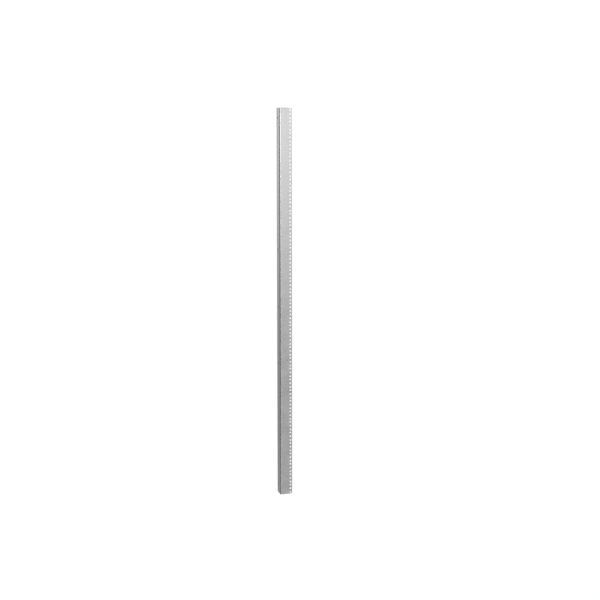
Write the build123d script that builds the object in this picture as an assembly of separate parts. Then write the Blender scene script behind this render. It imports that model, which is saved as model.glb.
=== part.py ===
from build123d import *
import os

# A rack mounting angle: one steel sheet folded into a channel, with a row of rack holes along its front
# flange and a few fixing holes in its side web. It lies on its rear flange, with the front flange on top.
# Millimetres. X runs across the front flange from the web to the free edge, Y runs along the angle from its
# foot to its head, and Z runs from the rear face up to the front face. The origin is under the middle.

# Rack spacing: each unit has three holes, at the same places in every unit
unit_pitch = 44.45
unit_count = 35
hole_pitch = 15.875
holes_in_unit = 3

# The folded sheet
flange_width = 50.0
web_depth = 45.0
sheet_thickness = 2.0
inner_bend_radius = 2.5

# Rack holes in the front flange
rack_hole_diameter = 7.1
rack_hole_to_free_edge = 7.1

# Fixing holes in the web: one at each end, one in the middle and one to each side of the middle
web_hole_diameter = 9.0
web_hole_behind_front = 25.0
web_hole_from_end = 38.1
web_hole_from_middle = 228.6

# Tools that cut a hole stand this far out of the sheet on both sides
cut_overrun = 1.0

length = unit_pitch * unit_count
outer_bend_radius = inner_bend_radius + sheet_thickness
web_outside_x = -flange_width / 2
free_edge_x = flange_width / 2
rack_hole_x = free_edge_x - rack_hole_to_free_edge
web_hole_z = web_depth - web_hole_behind_front


def rounded_on_the_left(width, height, radius):
    """A rectangle about its own middle, with its two left corners rounded."""
    plain = Rectangle(width, height)
    return fillet(plain.vertices().sort_by(Axis.X)[:2], radius)


def channel():
    """The folded sheet without its holes, drawn out from the foot to the head."""
    outside = rounded_on_the_left(flange_width, web_depth, outer_bend_radius)
    inside = rounded_on_the_left(flange_width, web_depth - 2 * sheet_thickness, inner_bend_radius)
    section = outside - Pos(sheet_thickness, 0) * inside
    foot = Plane.XZ.offset(length / 2)
    return extrude(foot * Pos(0, web_depth / 2) * section, amount=-length)


def rack_hole_places():
    """How far along the angle each rack hole lies, from the foot to the head."""
    middle_hole = (holes_in_unit - 1) / 2
    places = []
    for unit in range(unit_count):
        unit_middle = (unit + 0.5) * unit_pitch - length / 2
        for hole in range(holes_in_unit):
            places.append(unit_middle + (hole - middle_hole) * hole_pitch)
    return places


def web_hole_places():
    """How far along the angle each web hole lies, even about the middle."""
    end_hole = length / 2 - web_hole_from_end
    return [-end_hole, -web_hole_from_middle, 0, web_hole_from_middle, end_hole]


def mounting_angle():
    """The whole angle: the folded channel with both rows of holes cut through."""
    cut_depth = sheet_thickness + 2 * cut_overrun
    front_flange_middle_z = web_depth - sheet_thickness / 2
    rack_hole = Cylinder(rack_hole_diameter / 2, cut_depth)
    rack_holes = [Pos(rack_hole_x, y, front_flange_middle_z) * rack_hole for y in rack_hole_places()]
    web_middle_x = web_outside_x + sheet_thickness / 2
    web_hole = Rot(0, 90, 0) * Cylinder(web_hole_diameter / 2, cut_depth)
    web_holes = [Pos(web_middle_x, y, web_hole_z) * web_hole for y in web_hole_places()]
    return channel() - rack_holes - web_holes


os.makedirs("parts", exist_ok=True)
export_step(mounting_angle(), "parts/mounting_angle.step")
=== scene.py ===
import math

import bmesh
import bpy
from mathutils import Matrix, Vector

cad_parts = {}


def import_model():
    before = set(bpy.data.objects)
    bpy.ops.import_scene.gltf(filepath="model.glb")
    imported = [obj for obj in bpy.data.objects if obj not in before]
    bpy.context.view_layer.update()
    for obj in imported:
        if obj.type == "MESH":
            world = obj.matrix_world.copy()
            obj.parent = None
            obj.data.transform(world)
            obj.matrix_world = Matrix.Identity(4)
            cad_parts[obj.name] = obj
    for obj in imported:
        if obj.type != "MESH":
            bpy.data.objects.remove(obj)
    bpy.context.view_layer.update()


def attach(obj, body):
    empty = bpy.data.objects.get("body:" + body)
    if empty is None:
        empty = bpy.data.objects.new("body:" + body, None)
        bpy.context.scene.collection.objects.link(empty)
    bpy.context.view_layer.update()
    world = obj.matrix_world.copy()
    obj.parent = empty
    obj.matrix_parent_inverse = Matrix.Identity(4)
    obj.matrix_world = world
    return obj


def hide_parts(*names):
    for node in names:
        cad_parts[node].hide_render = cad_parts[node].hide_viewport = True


# A rack mounting angle: a zinc-plated steel sheet, punched and folded into a channel. The frame's X runs
# across the front flange, Y from the foot to the head and Z from the rear flange up to the front flange.

MM = 0.001

# Rack spacing
UNIT_PITCH = 44.45 * MM
UNIT_COUNT = 35
HOLE_PITCH = 15.875 * MM
HOLES_IN_UNIT = 3

# The folded sheet
FLANGE_WIDTH = 50.0 * MM
WEB_DEPTH = 45.0 * MM
SHEET_THICKNESS = 2.0 * MM
INNER_BEND_RADIUS = 2.5 * MM

# Punched holes
RACK_HOLE_DIAMETER = 7.1 * MM
RACK_HOLE_TO_FREE_EDGE = 7.1 * MM
WEB_HOLE_DIAMETER = 9.0 * MM
WEB_HOLE_BEHIND_FRONT = 25.0 * MM
WEB_HOLE_FROM_END = 38.1 * MM
WEB_HOLE_FROM_MIDDLE = 228.6 * MM

# How far each cut edge is rounded over, and how much of a cut wall the tool burnishes before the rest breaks
EDGE_BREAK = 0.2 * MM
BURNISHED_SHARE = 0.35

# How finely the sheet and its curves are divided
HOLE_SIDES = 24
BEND_STEPS = 10
CELLS_ALONG = 105

# Points this many edge breaks from the sheet's outline or nearer lie on it, and points this share of an edge
# break from each other or nearer are merged
OUTLINE_REACH = 1.5
MERGING_SHARE = 0.25

# Points with this much of the attribute "bend" or less lie at an end of the bend, and count as flat
LEAST_BEND = 0.01

# Values of the attribute "cut_wall" on the faces of a cut wall
BURNISHED = 0.5
BROKEN = 1.0

# Which faces give a corner its normal: flat ones first, then curves and cut walls, and rounded-over edges
# last, as long as they lean less than 50 degrees from the corner's own face
EDGE_RANK = 0
CURVE_RANK = 1
FLAT_RANK = 2
SAME_WAY = math.cos(math.radians(50))

# The finish: how large its patterns are and how detailed, its greys, and how rough it is
CLOUD_SIZE = 40.0 * MM
CLOUD_DETAIL = 3.0
GRAIN_WIDTH = 0.7 * MM
GRAIN_LENGTH = 70.0 * MM
GRAIN_DETAIL = 2.0
GRAIN_DEPTH = 0.02 * MM
GRAIN_STRENGTH = 0.3
# The patches and the brighter grey below paint edges and bends lighter: partly rubbed wear, partly a painted
# highlight
PATCH_SIZE = 6.0 * MM
PATCH_DETAIL = 2.0
PATCH_LEVELS = (0.3, 0.6)
LEAST_WEAR_AND_HIGHLIGHT = 0.5
CLOUD_DARK = "#bebebe"
CLOUD_LIGHT = "#cbcbcb"
GRAIN_GREY = "#b6b6b6"
WEAR_AND_HIGHLIGHT_GREY = "#d3d3d3"
BARE_STEEL_GREY = "#4a4a4a"
SATIN_ROUGHNESS = (0.22, 0.34)
RUBBED_ROUGHNESS = 0.16
TORN_ROUGHNESS = 0.5

# The camera. The photograph is 600 pixels wide. The camera is placed by where it sees the line of rack holes
# meet the head: how deep in its view, and how far left of the middle and above it
PHOTO_PIXELS = 600
CAMERA_FOCAL_PIXELS = 1128.0
CAMERA_SENSOR = 36.0
CAMERA_TILT = math.atan(0.2)
CAMERA_TURN = math.radians(17.2)
CAMERA_ROLL = math.radians(0.05)
HOLE_LINE_HEAD = Vector((FLANGE_WIDTH / 2 - RACK_HOLE_TO_FREE_EDGE, UNIT_PITCH * UNIT_COUNT / 2, WEB_DEPTH))
HEAD_DEPTH = 4312.0 * MM
HEAD_LEFT_OF_AXIS = 38.1 * MM
HEAD_ABOVE_AXIS = 733.7 * MM

# The stage
WHITE = "#ffffff"
FLOOR_GREY = "#7c7c7c"
FLOOR_ROUGHNESS = 0.8
FLOOR_GLOSS = 0.2
FLOOR_GLOW = 0.88
FLOOR_RADIUS = 12.0
FLOOR_BELOW = 0.1 * MM
FLOOR_SIDES = 64
BACKDROP_SIDES = 32
BACKDROP_RINGS = 16
SOFTBOX_PLACE = Vector((-1.6, 1.7, 2.6))
SOFTBOX_TARGET = Vector((0.0, 1.2, 0.0))
SOFTBOX_SIZE = (2.4, 3.0)
SOFTBOX_POWER = 26.0

# How bright the room is above the angle, below it and level with it. Each pair is how far a direction points
# towards the head (along) or the open side (across), and the brightness or share there. A bright strip runs
# along on each side of straight overhead, and the front bend mirrors the two as one light line. A dark patch
# on the web's side gives the bend its dark line
ROOM_ABOVE_ALONG = (
    (-1.0, 0.76),
    (-0.6, 0.84),
    (-0.42, 0.67),
    (-0.31, 0.46),
    (-0.24, 0.465),
    (-0.2, 0.54),
    (-0.12, 1.02),
    (-0.04, 2.3),
    (0.02, 2.1),
    (0.1, 0.85),
    (0.2, 0.55),
    (1.0, 0.5),
)
ROOM_ABOVE_ACROSS = (
    (-1.0, 0.2),
    (-0.52, 0.2),
    (-0.4, 0.9),
    (-0.28, 2.0),
    (-0.14, 0.9),
    (-0.02, 0.9),
    (0.1, 2.7),
    (0.2, 1.6),
    (0.3, 0.45),
    (1.0, 0.45),
)
ROOM_BELOW_ALONG = (
    (-1.0, 0.55),
    (-0.37, 0.5),
    (-0.345, 0.41),
    (-0.31, 0.375),
    (-0.2, 0.475),
    (-0.1, 0.78),
    (0.0, 0.89),
    (0.3, 0.7),
    (1.0, 0.6),
)
ROOM_LEVEL_ACROSS = ((-1.0, 0.5), (1.0, 1.0))
ROOM_PATCH_ALONG = ((-0.55, 0.0), (-0.2, 1.0), (-0.08, 1.0), (0.12, 0.0))
ROOM_PATCH_ACROSS = ((-0.7, 1.0), (-0.3, 0.0))
ROOM_PATCH = 0.04

# How high a direction points, from -1 for straight down to 1 for straight up, where the room's middle band
# begins to give way to the part above it or below it, and where it has given way
ROOM_ABOVE_HEIGHTS = (0.3, 0.7)
ROOM_BELOW_HEIGHTS = (-0.62, -0.88)

# Kinds of node that are used more than once. A Mix node takes its two values in sockets 2 and 3 for numbers,
# 4 and 5 for vectors and 6 and 7 for colours, and gives them out of 0, 1 and 2
MATH = "ShaderNodeMath"
VECTOR_MATH = "ShaderNodeVectorMath"
COMBINE = "ShaderNodeCombineXYZ"
SEPARATE = "ShaderNodeSeparateXYZ"
MIX = "ShaderNodeMix"
MAP_RANGE = "ShaderNodeMapRange"
NOISE = "ShaderNodeTexNoise"
ATTRIBUTE = "ShaderNodeAttribute"
PRINCIPLED = "ShaderNodeBsdfPrincipled"
SURFACE = "ShaderNodeOutputMaterial"
COORDINATES = "ShaderNodeTexCoord"
GROUP = "GeometryNodeGroup"
JOIN = "GeometryNodeJoinGeometry"
MERGE = "GeometryNodeMergeByDistance"
MESH_LINE = "GeometryNodeMeshLine"
ON_POINTS = "GeometryNodeInstanceOnPoints"
POSITION = "GeometryNodeInputPosition"
REALIZE = "GeometryNodeRealizeInstances"
SET_POSITION = "GeometryNodeSetPosition"
STORE = "GeometryNodeStoreNamedAttribute"
TRANSFORM = "GeometryNodeTransform"


def linear(hex_colour):
    """An sRGB colour such as "#bebebe" as the linear values that Blender's sockets take."""
    values = []
    for start in (1, 3, 5):
        value = int(hex_colour[start:start + 2], 16) / 255
        values.append(value / 12.92 if value <= 0.04045 else ((value + 0.055) / 1.055) ** 2.4)
    return (*values, 1.0)


def add_node(tree, kind, inputs=None, **settings):
    """A new node of that kind with its settings, and its inputs linked to sockets or set to values."""
    node = tree.nodes.new(kind)
    for name, value in settings.items():
        setattr(node, name, value)
    for name, value in (inputs or {}).items():
        for one in value if isinstance(value, list) else [value]:
            if isinstance(one, bpy.types.NodeSocket):
                tree.links.new(one, node.inputs[name])
            else:
                node.inputs[name].default_value = one
    return node


def new_tree(name, inputs):
    """A geometry tree with named inputs and one geometry output: the tree, what it's given, its result."""
    tree = bpy.data.node_groups.new(name, "GeometryNodeTree")
    for label, kind in inputs:
        tree.interface.new_socket(name=label, in_out="INPUT", socket_type="NodeSocket" + kind)
    tree.interface.new_socket(name="Geometry", in_out="OUTPUT", socket_type="NodeSocketGeometry")
    given = tree.nodes.new("NodeGroupInput").outputs
    result = tree.nodes.new("NodeGroupOutput").inputs
    return tree, given, result


def width_and_middle(tree, start, end):
    """How wide the stretch between two places is, and where its middle lies."""
    width = add_node(tree, MATH, {0: end, 1: start}, operation="SUBTRACT").outputs[0]
    both = add_node(tree, MATH, {0: end, 1: start}, operation="ADD").outputs[0]
    middle = add_node(tree, MATH, {0: both, 1: 0.5}, operation="MULTIPLY").outputs[0]
    return width, middle


def rim_edges(tree):
    """Selects the edges round a flat sheet and its holes, which have a face on one side only."""
    faces_beside = add_node(tree, "GeometryNodeInputMeshEdgeNeighbors").outputs[0]
    rim = add_node(tree, "FunctionNodeCompare", {2: faces_beside, 3: 1}, data_type="INT", operation="EQUAL")
    return rim.outputs[0]


def plain_strip_tree():
    """A flat strip of sheet between two places across, divided into cells."""
    tree, given, result = new_tree("Plain strip", [
        ("From", "Float"),
        ("To", "Float"),
        ("Length", "Float"),
        ("Cells across", "Int"),
        ("Cells along", "Int"),
    ])
    width, middle = width_and_middle(tree, given["From"], given["To"])
    across = add_node(tree, MATH, {0: given["Cells across"], 1: 1.0}, operation="ADD")
    along = add_node(tree, MATH, {0: given["Cells along"], 1: 1.0}, operation="ADD")
    grid = add_node(tree, "GeometryNodeMeshGrid", {
        "Size X": width,
        "Size Y": given["Length"],
        "Vertices X": across.outputs[0],
        "Vertices Y": along.outputs[0],
    })
    place = add_node(tree, COMBINE, {"X": middle})
    moved = add_node(tree, TRANSFORM, {
        "Geometry": grid.outputs["Mesh"],
        "Translation": place.outputs[0],
    })
    tree.links.new(moved.outputs[0], result[0])
    return tree


def punched_strip_tree(plain_strip):
    """A flat strip of sheet with a round hole at each of the given centres."""
    tree, given, result = new_tree("Punched strip", [
        ("From", "Float"),
        ("To", "Float"),
        ("Length", "Float"),
        ("Cells along", "Int"),
        ("Hole centres", "Geometry"),
        ("Hole radius", "Float"),
        ("Hole sides", "Int"),
    ])
    strip = add_node(tree, GROUP, {
        "From": given["From"],
        "To": given["To"],
        "Length": given["Length"],
        "Cells across": 1,
        "Cells along": given["Cells along"],
    }, node_tree=plain_strip)
    outline = add_node(tree, "GeometryNodeMeshToCurve", {
        "Mesh": strip.outputs[0],
        "Selection": rim_edges(tree),
    })
    circle = add_node(tree, "GeometryNodeCurvePrimitiveCircle", {
        "Resolution": given["Hole sides"],
        "Radius": given["Hole radius"],
    })
    circles = add_node(tree, ON_POINTS, {
        "Points": given["Hole centres"],
        "Instance": circle.outputs["Curve"],
    })
    rings = add_node(tree, REALIZE, {"Geometry": circles.outputs[0]})
    loops = add_node(tree, JOIN, {"Geometry": [outline.outputs[0], rings.outputs[0]]})
    filled = add_node(tree, "GeometryNodeFillCurve", {"Curve": loops.outputs[0]}, mode="TRIANGLES")
    tree.links.new(filled.outputs[0], result[0])
    return tree


def cut_edges_tree():
    """Gives a flat sheet its thickness: rounds its outline and its holes over, and closes it underneath."""
    tree, given, result = new_tree("Cut edges", [
        ("Sheet", "Geometry"),
        ("Hole centres", "Geometry"),
        ("From", "Float"),
        ("To", "Float"),
        ("Length", "Float"),
        ("Thickness", "Float"),
        ("Edge break", "Float"),
        ("Burnished share", "Float"),
    ])
    edge_break = given["Edge break"]
    position = add_node(tree, POSITION).outputs[0]
    place = add_node(tree, SEPARATE, {0: position}).outputs

    # Outwards from the sheet's outline, for the points that lie on it
    width, middle = width_and_middle(tree, given["From"], given["To"])
    from_middle = add_node(tree, MATH, {0: place["X"], 1: middle}, operation="SUBTRACT").outputs[0]
    steps = []
    for distance, whole in ((from_middle, width), (place["Y"], given["Length"])):
        half = add_node(tree, MATH, {0: whole, 1: 0.5}, operation="MULTIPLY").outputs[0]
        margin = add_node(tree, MATH, {0: edge_break, 1: -OUTLINE_REACH, 2: half}, operation="MULTIPLY_ADD")
        size = add_node(tree, MATH, {0: distance}, operation="ABSOLUTE")
        near = add_node(tree, MATH, {0: size.outputs[0], 1: margin.outputs[0]}, operation="GREATER_THAN")
        side = add_node(tree, MATH, {0: distance}, operation="SIGN")
        step = add_node(tree, MATH, {0: near.outputs[0], 1: side.outputs[0]}, operation="MULTIPLY")
        steps.append(step.outputs[0])
    outwards = add_node(tree, COMBINE, {"X": steps[0], "Y": steps[1]})
    on_outline = add_node(tree, VECTOR_MATH, {0: outwards.outputs[0]}, operation="LENGTH")

    # Towards the middle of the nearest hole, level with the point
    nearest = add_node(tree, "GeometryNodeSampleNearest", {
        "Geometry": given["Hole centres"],
    }, domain="POINT")
    centre = add_node(tree, "GeometryNodeSampleIndex", {
        "Geometry": given["Hole centres"],
        "Value": position,
        "Index": nearest.outputs[0],
    }, data_type="FLOAT_VECTOR", domain="POINT")
    gap = add_node(tree, VECTOR_MATH, {0: centre.outputs[0], 1: position}, operation="SUBTRACT")
    level_gap = add_node(tree, VECTOR_MATH, {0: gap.outputs[0], 1: (1.0, 1.0, 0.0)}, operation="MULTIPLY")
    inwards = add_node(tree, VECTOR_MATH, {0: level_gap.outputs[0]}, operation="NORMALIZE")

    # Over the upper edge is a step down and out, and under the lower edge a step down and back in
    way = add_node(tree, MIX, {
        "Factor": on_outline.outputs["Value"],
        4: inwards.outputs[0],
        5: outwards.outputs[0],
    }, data_type="VECTOR")
    step_out = add_node(tree, VECTOR_MATH, {0: way.outputs[1], "Scale": edge_break}, operation="SCALE")
    down = add_node(tree, MATH, {0: edge_break, 1: -1.0}, operation="MULTIPLY")
    drop = add_node(tree, COMBINE, {"Z": down.outputs[0]})
    over = add_node(tree, VECTOR_MATH, {0: drop.outputs[0], 1: step_out.outputs[0]}, operation="ADD")
    under = add_node(tree, VECTOR_MATH, {0: drop.outputs[0], 1: step_out.outputs[0]}, operation="SUBTRACT")

    # The wall between the two rounded edges: burnished by the tool at first, then broken through
    wall = add_node(tree, MATH, {
        0: edge_break,
        1: -2.0,
        2: given["Thickness"],
    }, operation="MULTIPLY_ADD").outputs[0]
    burnished = add_node(tree, MATH, {0: wall, 1: given["Burnished share"]}, operation="MULTIPLY").outputs[0]
    broken = add_node(tree, MATH, {0: wall, 1: burnished}, operation="SUBTRACT").outputs[0]
    falls = []
    for height in (burnished, broken):
        fall = add_node(tree, MATH, {0: height, 1: -1.0}, operation="MULTIPLY")
        falls.append(add_node(tree, COMBINE, {"Z": fall.outputs[0]}).outputs[0])

    # The rim is drawn down in four steps: an edge, the two parts of the wall and the other edge
    mesh = given["Sheet"]
    lowest = rim_edges(tree)
    for offset, mark, amount in (
        (over.outputs[0], "rounded_edge", 1.0),
        (falls[0], "cut_wall", BURNISHED),
        (falls[1], "cut_wall", BROKEN),
        (under.outputs[0], "rounded_edge", 1.0),
    ):
        drawn = add_node(tree, "GeometryNodeExtrudeMesh", {
            "Mesh": mesh,
            "Selection": lowest,
            "Offset Scale": 0.0,
        }, mode="EDGES")
        moved = add_node(tree, SET_POSITION, {
            "Geometry": drawn.outputs["Mesh"],
            "Selection": drawn.outputs["Top"],
            "Offset": offset,
        })
        marked = add_node(tree, STORE, {
            "Geometry": moved.outputs[0],
            "Selection": drawn.outputs["Side"],
            "Name": mark,
            "Value": amount,
        }, data_type="FLOAT", domain="FACE")
        mesh = marked.outputs[0]
        lowest = drawn.outputs["Top"]

    below = add_node(tree, MATH, {0: given["Thickness"], 1: -1.0}, operation="MULTIPLY")
    thickness = add_node(tree, COMBINE, {"Z": below.outputs[0]})
    lowered = add_node(tree, TRANSFORM, {
        "Geometry": given["Sheet"],
        "Translation": thickness.outputs[0],
    })
    underside = add_node(tree, "GeometryNodeFlipFaces", {"Mesh": lowered.outputs[0]})
    both = add_node(tree, JOIN, {"Geometry": [mesh, underside.outputs[0]]})
    merging = add_node(tree, MATH, {0: edge_break, 1: MERGING_SHARE}, operation="MULTIPLY")
    closed = add_node(tree, MERGE, {
        "Geometry": both.outputs[0],
        "Distance": merging.outputs[0],
    })
    tree.links.new(closed.outputs[0], result[0])
    return tree


def fold_tree():
    """Folds what lies beyond a line down through a right angle, round an axis under the line."""
    tree, given, result = new_tree("Fold", [
        ("Geometry", "Geometry"),
        ("Line", "Float"),
        ("Axis height", "Float"),
        ("Arc length", "Float"),
    ])
    line = given["Line"]
    axis = given["Axis height"]
    arc = given["Arc length"]
    position = add_node(tree, POSITION).outputs[0]
    place = add_node(tree, SEPARATE, {0: position}).outputs
    beyond = add_node(tree, MATH, {0: line, 1: place["X"]}, operation="SUBTRACT").outputs[0]
    share = add_node(tree, MATH, {0: beyond, 1: arc}, operation="DIVIDE", use_clamp=True).outputs[0]
    angle = add_node(tree, MATH, {0: share, 1: math.pi / 2}, operation="MULTIPLY").outputs[0]
    past_arc = add_node(tree, MATH, {0: beyond, 1: arc}, operation="SUBTRACT").outputs[0]
    straight = add_node(tree, MATH, {0: past_arc, 1: 0.0}, operation="MAXIMUM").outputs[0]
    radius = add_node(tree, MATH, {0: place["Z"], 1: axis}, operation="SUBTRACT").outputs[0]
    sine = add_node(tree, MATH, {0: angle}, operation="SINE").outputs[0]
    cosine = add_node(tree, MATH, {0: angle}, operation="COSINE").outputs[0]
    bent_in = add_node(tree, MATH, {0: radius, 1: sine}, operation="MULTIPLY").outputs[0]
    reach = add_node(tree, MATH, {0: straight, 1: cosine, 2: bent_in}, operation="MULTIPLY_ADD").outputs[0]
    new_x = add_node(tree, MATH, {0: line, 1: reach}, operation="SUBTRACT").outputs[0]
    bent_down = add_node(tree, MATH, {0: radius, 1: cosine, 2: axis}, operation="MULTIPLY_ADD").outputs[0]
    fall = add_node(tree, MATH, {0: straight, 1: sine}, operation="MULTIPLY").outputs[0]
    new_z = add_node(tree, MATH, {0: bent_down, 1: fall}, operation="SUBTRACT").outputs[0]
    folded = add_node(tree, COMBINE, {"X": new_x, "Y": place["Y"], "Z": new_z})

    # How far into the bend each point lies: nothing at its two ends, and 1 in its middle
    unfolded = add_node(tree, MATH, {0: 1.0, 1: share}, operation="SUBTRACT").outputs[0]
    product = add_node(tree, MATH, {0: share, 1: unfolded}, operation="MULTIPLY").outputs[0]
    in_bend = add_node(tree, MATH, {0: product, 1: 4.0}, operation="MULTIPLY").outputs[0]
    inside = add_node(tree, MATH, {0: in_bend, 1: LEAST_BEND}, operation="GREATER_THAN").outputs[0]
    marked = add_node(tree, STORE, {
        "Geometry": given["Geometry"],
        "Selection": inside,
        "Name": "bend",
        "Value": in_bend,
    }, data_type="FLOAT", domain="POINT")
    past_line = add_node(tree, MATH, {0: beyond, 1: 0.0}, operation="GREATER_THAN").outputs[0]
    moved = add_node(tree, SET_POSITION, {
        "Geometry": marked.outputs[0],
        "Selection": past_line,
        "Position": folded.outputs[0],
    })
    tree.links.new(moved.outputs[0], result[0])
    return tree


def channel_tree():
    """The whole angle: a flat blank in five strips, punched, given its thickness and folded twice."""
    tree, given, result = new_tree("Punched and folded channel", [
        ("Unit pitch", "Float"),
        ("Unit count", "Int"),
        ("Hole pitch", "Float"),
        ("Holes in a unit", "Int"),
        ("Flange width", "Float"),
        ("Web depth", "Float"),
        ("Sheet thickness", "Float"),
        ("Inner bend radius", "Float"),
        ("Rack hole diameter", "Float"),
        ("Rack hole to free edge", "Float"),
        ("Web hole diameter", "Float"),
        ("Web hole behind front", "Float"),
        ("Web hole from end", "Float"),
        ("Web hole from middle", "Float"),
        ("Edge break", "Float"),
        ("Burnished share", "Float"),
        ("Hole sides", "Int"),
        ("Bend steps", "Int"),
        ("Cells along", "Int"),
        ("Finish", "Material"),
    ])

    # Sizes that follow from the given ones. Places across are on the flat blank, which runs from the front
    # flange's free edge back to the rear flange's
    sizes = {socket.name: socket for socket in given}
    for name, operation, *terms in (
        ("Length", "MULTIPLY", "Unit pitch", "Unit count"),
        ("Foot", "MULTIPLY", "Length", -0.5),
        ("Outer bend radius", "ADD", "Inner bend radius", "Sheet thickness"),
        ("Middle bend radius", "MULTIPLY_ADD", "Sheet thickness", 0.5, "Inner bend radius"),
        ("Arc length", "MULTIPLY", "Middle bend radius", math.pi / 2),
        ("Axis height", "SUBTRACT", "Web depth", "Outer bend radius"),
        ("Front edge", "MULTIPLY", "Flange width", 0.5),
        ("Front fold", "MULTIPLY_ADD", "Flange width", -0.5, "Outer bend radius"),
        ("Web front", "SUBTRACT", "Front fold", "Arc length"),
        ("Web flat", "MULTIPLY_ADD", "Outer bend radius", -2.0, "Web depth"),
        ("Rear fold", "SUBTRACT", "Web front", "Web flat"),
        ("Rear front", "SUBTRACT", "Rear fold", "Arc length"),
        ("Rear flat", "SUBTRACT", "Flange width", "Outer bend radius"),
        ("Rear edge", "SUBTRACT", "Rear front", "Rear flat"),
        ("Front cut", "SUBTRACT", "Front edge", "Edge break"),
        ("Rear cut", "ADD", "Rear edge", "Edge break"),
        ("Cut length", "MULTIPLY_ADD", "Edge break", -2.0, "Length"),
        ("Merging distance", "MULTIPLY", "Edge break", MERGING_SHARE),
        ("Rack hole across", "SUBTRACT", "Front edge", "Rack hole to free edge"),
        ("First unit", "MULTIPLY_ADD", "Unit pitch", 0.5, "Foot"),
        ("Hole gaps", "SUBTRACT", "Holes in a unit", 1.0),
        ("Row length", "MULTIPLY", "Hole gaps", "Hole pitch"),
        ("First hole", "MULTIPLY", "Row length", -0.5),
        ("Rack hole radius", "MULTIPLY_ADD", "Rack hole diameter", 0.5, "Edge break"),
        ("Web hole past bend", "SUBTRACT", "Web hole behind front", "Outer bend radius"),
        ("Web hole across", "SUBTRACT", "Web front", "Web hole past bend"),
        ("Web hole radius", "MULTIPLY_ADD", "Web hole diameter", 0.5, "Edge break"),
        ("Side holes start", "MULTIPLY", "Web hole from middle", -1.0),
        ("Side holes step", "MULTIPLY", "Web hole from middle", 2.0),
        ("End holes start", "ADD", "Foot", "Web hole from end"),
        ("End holes step", "MULTIPLY", "End holes start", -2.0),
    ):
        values = {place: sizes.get(term, term) for place, term in enumerate(terms)}
        sizes[name] = add_node(tree, MATH, values, operation=operation, label=name).outputs[0]

    # Rack holes: a unit's own row of holes, repeated at the middle of each unit
    unit_start = add_node(tree, COMBINE, {"X": sizes["Rack hole across"], "Y": sizes["First unit"]})
    unit_step = add_node(tree, COMBINE, {"Y": sizes["Unit pitch"]})
    unit_middles = add_node(tree, MESH_LINE, {
        "Count": sizes["Unit count"],
        "Start Location": unit_start.outputs[0],
        "Offset": unit_step.outputs[0],
    })
    hole_start = add_node(tree, COMBINE, {"Y": sizes["First hole"]})
    hole_step = add_node(tree, COMBINE, {"Y": sizes["Hole pitch"]})
    unit_holes = add_node(tree, MESH_LINE, {
        "Count": sizes["Holes in a unit"],
        "Start Location": hole_start.outputs[0],
        "Offset": hole_step.outputs[0],
    })
    repeated = add_node(tree, ON_POINTS, {
        "Points": unit_middles.outputs[0],
        "Instance": unit_holes.outputs[0],
    })
    rack_holes = add_node(tree, REALIZE, {"Geometry": repeated.outputs[0]}).outputs[0]

    # Web holes: one in the middle, one to each side of it and one near each end
    web_rows = []
    for count, start, step in (
        (1, 0.0, 0.0),
        (2, sizes["Side holes start"], sizes["Side holes step"]),
        (2, sizes["End holes start"], sizes["End holes step"]),
    ):
        first = add_node(tree, COMBINE, {"X": sizes["Web hole across"], "Y": start})
        offset = add_node(tree, COMBINE, {"Y": step})
        row = add_node(tree, MESH_LINE, {
            "Count": count,
            "Start Location": first.outputs[0],
            "Offset": offset.outputs[0],
        })
        web_rows.append(row.outputs[0])
    web_holes = add_node(tree, JOIN, {"Geometry": web_rows}).outputs[0]
    all_holes = add_node(tree, JOIN, {"Geometry": [rack_holes, web_holes]}).outputs[0]

    # The blank: the front flange and the web are punched, and the two bends and the rear flange are plain
    plain_strip = plain_strip_tree()
    punched_strip = punched_strip_tree(plain_strip)
    strips = []
    for start, end, centres, radius in (
        ("Front fold", "Front cut", rack_holes, "Rack hole radius"),
        ("Rear fold", "Web front", web_holes, "Web hole radius"),
    ):
        strip = add_node(tree, GROUP, {
            "From": sizes[start],
            "To": sizes[end],
            "Length": sizes["Cut length"],
            "Cells along": sizes["Cells along"],
            "Hole centres": centres,
            "Hole radius": sizes[radius],
            "Hole sides": sizes["Hole sides"],
        }, node_tree=punched_strip)
        strips.append(strip.outputs[0])
    for start, end, cells in (
        ("Web front", "Front fold", sizes["Bend steps"]),
        ("Rear front", "Rear fold", sizes["Bend steps"]),
        ("Rear cut", "Rear front", 1),
    ):
        strip = add_node(tree, GROUP, {
            "From": sizes[start],
            "To": sizes[end],
            "Length": sizes["Cut length"],
            "Cells across": cells,
            "Cells along": sizes["Cells along"],
        }, node_tree=plain_strip)
        strips.append(strip.outputs[0])
    blank = add_node(tree, JOIN, {"Geometry": strips})
    joined = add_node(tree, MERGE, {
        "Geometry": blank.outputs[0],
        "Distance": sizes["Merging distance"],
    })
    lift = add_node(tree, COMBINE, {"Z": sizes["Web depth"]})
    raised = add_node(tree, TRANSFORM, {
        "Geometry": joined.outputs[0],
        "Translation": lift.outputs[0],
    })
    sheet = add_node(tree, GROUP, {
        "Sheet": raised.outputs[0],
        "Hole centres": all_holes,
        "From": sizes["Rear edge"],
        "To": sizes["Front edge"],
        "Length": sizes["Length"],
        "Thickness": sizes["Sheet thickness"],
        "Edge break": sizes["Edge break"],
        "Burnished share": sizes["Burnished share"],
    }, node_tree=cut_edges_tree())

    # The rear flange is folded first, while the rest is still flat, and then the web with it
    shape = sheet.outputs[0]
    fold = fold_tree()
    for line in ("Rear fold", "Front fold"):
        shape = add_node(tree, GROUP, {
            "Geometry": shape,
            "Line": sizes[line],
            "Axis height": sizes["Axis height"],
            "Arc length": sizes["Arc length"],
        }, node_tree=fold).outputs[0]

    smooth = add_node(tree, "GeometryNodeSetShadeSmooth", {"Geometry": shape})
    realised = add_node(tree, REALIZE, {"Geometry": smooth.outputs[0]})
    finished = add_node(tree, "GeometryNodeSetMaterial", {
        "Geometry": realised.outputs[0],
        "Material": given["Finish"],
    })
    tree.links.new(finished.outputs[0], result[0])
    return tree


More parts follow.
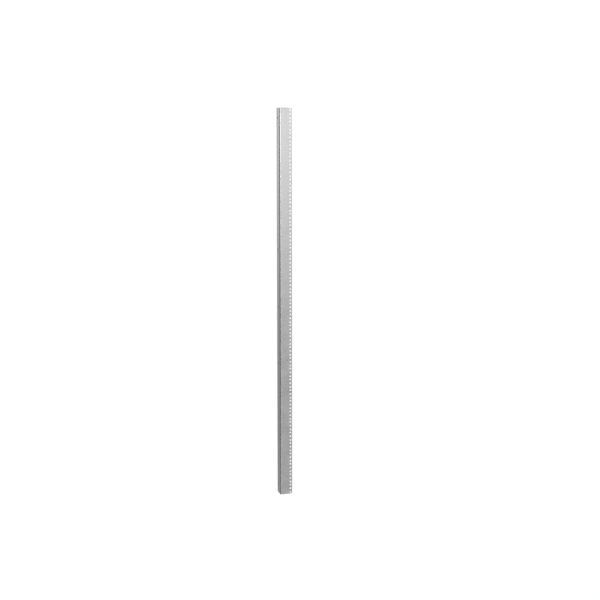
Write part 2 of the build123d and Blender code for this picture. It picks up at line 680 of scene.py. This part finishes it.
def plain_mesh(obj):
    """Turns what obj's modifiers make into its own plain mesh, and removes the modifiers."""
    graph = bpy.context.evaluated_depsgraph_get()
    whole = obj.evaluated_get(graph)
    made = bpy.data.meshes.new_from_object(whole, preserve_all_data_layers=True, depsgraph=graph)
    for slot in reversed(range(len(made.materials))):
        if made.materials[slot] is None:
            made.materials.pop(index=slot)
    obj.modifiers.clear()
    obj.data = made


def even_shading(mesh):
    """Sets each face's corner normals so that flat faces look flat and rounded-over edges look round.

    A corner takes its normal from the flat faces round it that lean the same way, or where there are none,
    from the bends and cut walls. A rounded-over edge blends from one to the other.
    """
    edge = mesh.attributes["rounded_edge"].data
    wall = mesh.attributes["cut_wall"].data
    bend = mesh.attributes["bend"].data
    around = [[] for _ in mesh.vertices]
    for face in mesh.polygons:
        if edge[face.index].value:
            rank = EDGE_RANK
        elif wall[face.index].value or any(bend[vertex].value for vertex in face.vertices):
            rank = CURVE_RANK
        else:
            rank = FLAT_RANK
        for vertex in face.vertices:
            around[vertex].append((rank, face))
    normals = []
    for face in mesh.polygons:
        for vertex in face.vertices:
            alike = [pair for pair in around[vertex] if pair[1].normal.dot(face.normal) > SAME_WAY]
            highest = max(rank for rank, _ in alike)
            total = Vector()
            for rank, other in alike:
                if rank == highest:
                    total += other.area * other.normal
            normals.append(total.normalized())
    mesh.normals_split_custom_set(normals)


def empty_material(name):
    """A new material without nodes, and its node tree."""
    material = bpy.data.materials.new(name)
    material.use_nodes = True
    material.node_tree.nodes.clear()
    return material, material.node_tree


def zinc_plated_steel():
    """Cold-rolled sheet steel, bright zinc plated while flat, and then cut, punched and folded.

    That gives the eye a pale satin grey with faint clouds in the plating, the sheet's grain along it, edges
    and bends painted a little brighter, partly as rubbed wear and partly as a painted highlight, and cut
    walls of bare dark steel, smooth at first and then torn.
    """
    material, tree = empty_material("bright_zinc_plated_steel")
    place = add_node(tree, COORDINATES).outputs["Object"]

    # Clouds in the plating, about 40 mm across
    clouds = add_node(tree, NOISE, {
        "Vector": place,
        "Scale": 1 / CLOUD_SIZE,
        "Detail": CLOUD_DETAIL,
    }).outputs[0]
    # Rolling grain along the sheet. Real grain is about 0.1 mm wide, drawn 0.7 mm wide so that it shows
    stretched = add_node(tree, "ShaderNodeMapping", {
        "Vector": place,
        "Scale": (1 / GRAIN_WIDTH, 1 / GRAIN_LENGTH, 1 / GRAIN_WIDTH),
    })
    grain = add_node(tree, NOISE, {
        "Vector": stretched.outputs[0],
        "Scale": 1.0,
        "Detail": GRAIN_DETAIL,
    }).outputs[0]
    # Patches about 6 mm across where an edge or a bend is rubbed and painted with a highlight
    patches = add_node(tree, NOISE, {
        "Vector": place,
        "Scale": 1 / PATCH_SIZE,
        "Detail": PATCH_DETAIL,
    }).outputs[0]

    # Its greys: clouds and grain, edges and bends brighter as rubbed wear and a painted highlight, and bare
    # steel on the cut walls
    clouded = add_node(tree, MIX, {
        "Factor": clouds,
        6: linear(CLOUD_DARK),
        7: linear(CLOUD_LIGHT),
    }, data_type="RGBA")
    grained = add_node(tree, MIX, {
        "Factor": grain,
        6: linear(GRAIN_GREY),
        7: clouded.outputs[2],
    }, data_type="RGBA")
    edge = add_node(tree, ATTRIBUTE, attribute_name="rounded_edge").outputs["Fac"]
    bend = add_node(tree, ATTRIBUTE, attribute_name="bend").outputs["Fac"]
    either = add_node(tree, MATH, {0: edge, 1: bend}, operation="MAXIMUM").outputs[0]
    patchy = add_node(tree, MAP_RANGE, {
        "Value": patches,
        "From Min": PATCH_LEVELS[0],
        "From Max": PATCH_LEVELS[1],
        "To Min": LEAST_WEAR_AND_HIGHLIGHT,
    }).outputs[0]
    # The mask for edges and bends that are painted brighter: partly rubbed wear, partly a painted highlight
    wear_and_highlight = add_node(tree, MATH, {0: either, 1: patchy}, operation="MULTIPLY").outputs[0]
    brightened = add_node(tree, MIX, {
        "Factor": wear_and_highlight,
        6: grained.outputs[2],
        7: linear(WEAR_AND_HIGHLIGHT_GREY),
    }, data_type="RGBA")
    wall = add_node(tree, ATTRIBUTE, attribute_name="cut_wall").outputs["Fac"]
    coloured = add_node(tree, MIX, {
        "Factor": wall,
        6: brightened.outputs[2],
        7: linear(BARE_STEEL_GREY),
    }, data_type="RGBA")

    # Its roughness: satin that follows the clouds, smoother where it is rubbed, and rough where it is torn
    satin = add_node(tree, MAP_RANGE, {
        "Value": clouds,
        "To Min": SATIN_ROUGHNESS[0],
        "To Max": SATIN_ROUGHNESS[1],
    }).outputs[0]
    smoothed = add_node(tree, MIX, {
        "Factor": wear_and_highlight,
        2: satin,
        3: RUBBED_ROUGHNESS,
    }, data_type="FLOAT").outputs[0]
    torn = add_node(tree, MAP_RANGE, {
        "Value": wall,
        "From Min": BURNISHED,
        "From Max": BROKEN,
    }).outputs[0]
    roughness = add_node(tree, MIX, {
        "Factor": torn,
        2: smoothed,
        3: TORN_ROUGHNESS,
    }, data_type="FLOAT").outputs[0]
    bump = add_node(tree, "ShaderNodeBump", {
        "Height": grain,
        "Strength": GRAIN_STRENGTH,
        "Distance": GRAIN_DEPTH,
    })
    shader = add_node(tree, PRINCIPLED, {
        "Base Color": coloured.outputs[2],
        "Metallic": 1.0,
        "Roughness": roughness,
        "Normal": bump.outputs[0],
    })
    add_node(tree, SURFACE, {"Surface": shader.outputs[0]})
    return material


def folded_channel(finish):
    """The mounting angle itself, with round holes, smooth bends and rounded-over edges."""
    channel = bpy.data.objects.new("punched_channel", bpy.data.meshes.new("punched_channel"))
    bpy.context.scene.collection.objects.link(channel)
    tree = channel_tree()
    shape = channel.modifiers.new("Punched and folded channel", "NODES")
    shape.node_group = tree
    sockets = {item.name: item.identifier for item in tree.interface.items_tree if item.in_out == "INPUT"}
    for label, value in (
        ("Unit pitch", UNIT_PITCH),
        ("Unit count", UNIT_COUNT),
        ("Hole pitch", HOLE_PITCH),
        ("Holes in a unit", HOLES_IN_UNIT),
        ("Flange width", FLANGE_WIDTH),
        ("Web depth", WEB_DEPTH),
        ("Sheet thickness", SHEET_THICKNESS),
        ("Inner bend radius", INNER_BEND_RADIUS),
        ("Rack hole diameter", RACK_HOLE_DIAMETER),
        ("Rack hole to free edge", RACK_HOLE_TO_FREE_EDGE),
        ("Web hole diameter", WEB_HOLE_DIAMETER),
        ("Web hole behind front", WEB_HOLE_BEHIND_FRONT),
        ("Web hole from end", WEB_HOLE_FROM_END),
        ("Web hole from middle", WEB_HOLE_FROM_MIDDLE),
        ("Edge break", EDGE_BREAK),
        ("Burnished share", BURNISHED_SHARE),
        ("Hole sides", HOLE_SIDES),
        ("Bend steps", BEND_STEPS),
        ("Cells along", CELLS_ALONG),
        ("Finish", finish),
    ):
        shape[sockets[label]] = value
    plain_mesh(channel)
    even_shading(channel.data)
    return channel


def stage_object(name, shape, material):
    """An object of the stage with that shape, which isn't part of the angle."""
    mesh = bpy.data.meshes.new(name)
    shape.to_mesh(mesh)
    shape.free()
    mesh.materials.append(material)
    obj = bpy.data.objects.new(name, mesh)
    bpy.context.scene.collection.objects.link(obj)
    return obj


def pale_floor():
    """A plain pale table top that glows a little, as a lit product table does.

    The metal doesn't mirror it: what the photograph's angle mirrors there is a dim room.
    """
    material, tree = empty_material("pale_table")
    shader = add_node(tree, PRINCIPLED, {
        "Base Color": linear(FLOOR_GREY),
        "Roughness": FLOOR_ROUGHNESS,
        "Specular IOR Level": FLOOR_GLOSS,
        "Emission Color": linear(WHITE),
        "Emission Strength": FLOOR_GLOW,
    })
    add_node(tree, SURFACE, {"Surface": shader.outputs[0]})
    shape = bmesh.new()
    bmesh.ops.create_circle(shape, cap_ends=True, segments=FLOOR_SIDES, radius=FLOOR_RADIUS)
    bmesh.ops.translate(shape, vec=(0.0, 0.0, -FLOOR_BELOW), verts=shape.verts)
    floor = stage_object("floor", shape, material)
    floor.visible_glossy = False


def pale_backdrop():
    """A plain white backdrop all round, which neither lights the angle nor shades it."""
    material, tree = empty_material("pale_backdrop")
    white = add_node(tree, "ShaderNodeEmission", {"Color": linear(WHITE), "Strength": 1.0})
    add_node(tree, SURFACE, {"Surface": white.outputs[0]})
    shape = bmesh.new()
    bmesh.ops.create_uvsphere(
        shape,
        u_segments=BACKDROP_SIDES,
        v_segments=BACKDROP_RINGS,
        radius=FLOOR_RADIUS,
    )
    backdrop = stage_object("backdrop", shape, material)
    backdrop.visible_diffuse = False
    backdrop.visible_glossy = False
    backdrop.visible_transmission = False
    backdrop.visible_shadow = False


def soft_light(name, place, target, size, power):
    """A soft rectangular light at a place, facing a target."""
    light = bpy.data.lights.new(name, "AREA")
    light.shape = "RECTANGLE"
    light.size, light.size_y = size
    light.energy = power
    obj = bpy.data.objects.new(name, light)
    obj.matrix_world = Matrix.LocRotScale(place, (target - place).to_track_quat("-Z", "Y"), None)
    bpy.context.scene.collection.objects.link(obj)


def camera_at_photograph_angle():
    """The camera at the photograph's angle, looking down on the front flange."""
    turn, tilt = CAMERA_TURN, CAMERA_TILT
    forward = Vector((
        math.cos(tilt) * math.sin(turn),
        -math.sin(tilt),
        -math.cos(tilt) * math.cos(turn),
    ))
    right = Vector((math.cos(turn), 0.0, math.sin(turn)))
    up = right.cross(forward)
    place = HOLE_LINE_HEAD - HEAD_DEPTH * forward + HEAD_LEFT_OF_AXIS * right - HEAD_ABOVE_AXIS * up
    right.rotate(Matrix.Rotation(-CAMERA_ROLL, 3, forward))
    up = right.cross(forward)
    lens = bpy.data.cameras.new("camera")
    lens.sensor_width = CAMERA_SENSOR
    lens.lens = CAMERA_FOCAL_PIXELS / PHOTO_PIXELS * CAMERA_SENSOR
    camera = bpy.data.objects.new("camera", lens)
    axes = Matrix((right, up, -forward)).transposed().to_4x4()
    camera.matrix_world = Matrix.Translation(place) @ axes
    bpy.context.scene.collection.objects.link(camera)
    bpy.context.scene.camera = camera


def dim_room():
    """The light from all round: brightest in two strips overhead, with a dark patch on the web's side."""
    room = bpy.data.worlds.new("room")
    room.use_nodes = True
    tree = room.node_tree
    direction = add_node(tree, COORDINATES).outputs["Generated"]
    parts = add_node(tree, SEPARATE, {0: direction}).outputs

    # A direction's part runs from -1 to 1, and a ramp from 0 to 1
    shares = []
    for part, stops in (
        ("Y", ROOM_ABOVE_ALONG),
        ("X", ROOM_ABOVE_ACROSS),
        ("Y", ROOM_BELOW_ALONG),
        ("X", ROOM_LEVEL_ACROSS),
        ("Y", ROOM_PATCH_ALONG),
        ("X", ROOM_PATCH_ACROSS),
    ):
        place = add_node(tree, MAP_RANGE, {"Value": parts[part], "From Min": -1.0}).outputs[0]
        ramp = add_node(tree, "ShaderNodeValToRGB", {0: place})
        elements = ramp.color_ramp.elements
        for _ in range(len(stops) - len(elements)):
            elements.new(1.0)
        for element, (towards, brightness) in zip(elements, stops):
            element.position = (towards + 1) / 2
            element.color = (brightness, brightness, brightness, 1.0)
        shares.append(ramp.outputs["Color"])
    above_along, above_across, below, level_across, patch_along, patch_across = shares
    above = add_node(tree, MATH, {0: above_along, 1: above_across}, operation="MULTIPLY").outputs[0]
    patch = add_node(tree, MATH, {0: patch_along, 1: patch_across}, operation="MULTIPLY").outputs[0]
    level = add_node(tree, MAP_RANGE, {
        "Value": patch,
        "To Min": level_across,
        "To Max": ROOM_PATCH,
    }).outputs[0]
    upper = add_node(tree, MAP_RANGE, {
        "Value": parts["Z"],
        "From Min": ROOM_ABOVE_HEIGHTS[0],
        "From Max": ROOM_ABOVE_HEIGHTS[1],
        "To Min": level,
        "To Max": above,
    }, interpolation_type="SMOOTHSTEP").outputs[0]
    strength = add_node(tree, MAP_RANGE, {
        "Value": parts["Z"],
        "From Min": ROOM_BELOW_HEIGHTS[0],
        "From Max": ROOM_BELOW_HEIGHTS[1],
        "To Min": upper,
        "To Max": below,
    }, interpolation_type="SMOOTHSTEP").outputs[0]
    background = tree.nodes["Background"]
    background.inputs["Color"].default_value = linear(WHITE)
    tree.links.new(strength, background.inputs["Strength"])
    bpy.context.scene.world = room


def studio():
    """The pale table and backdrop, a large soft light over the table and a dim room round it."""
    pale_floor()
    pale_backdrop()
    soft_light("softbox", SOFTBOX_PLACE, SOFTBOX_TARGET, SOFTBOX_SIZE, SOFTBOX_POWER)
    dim_room()
    bpy.context.scene.view_settings.view_transform = "Standard"


def main():
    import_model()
    channel = folded_channel(zinc_plated_steel())
    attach(channel, "root")
    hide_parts("mounting_angle")
    studio()
    camera_at_photograph_angle()


main()
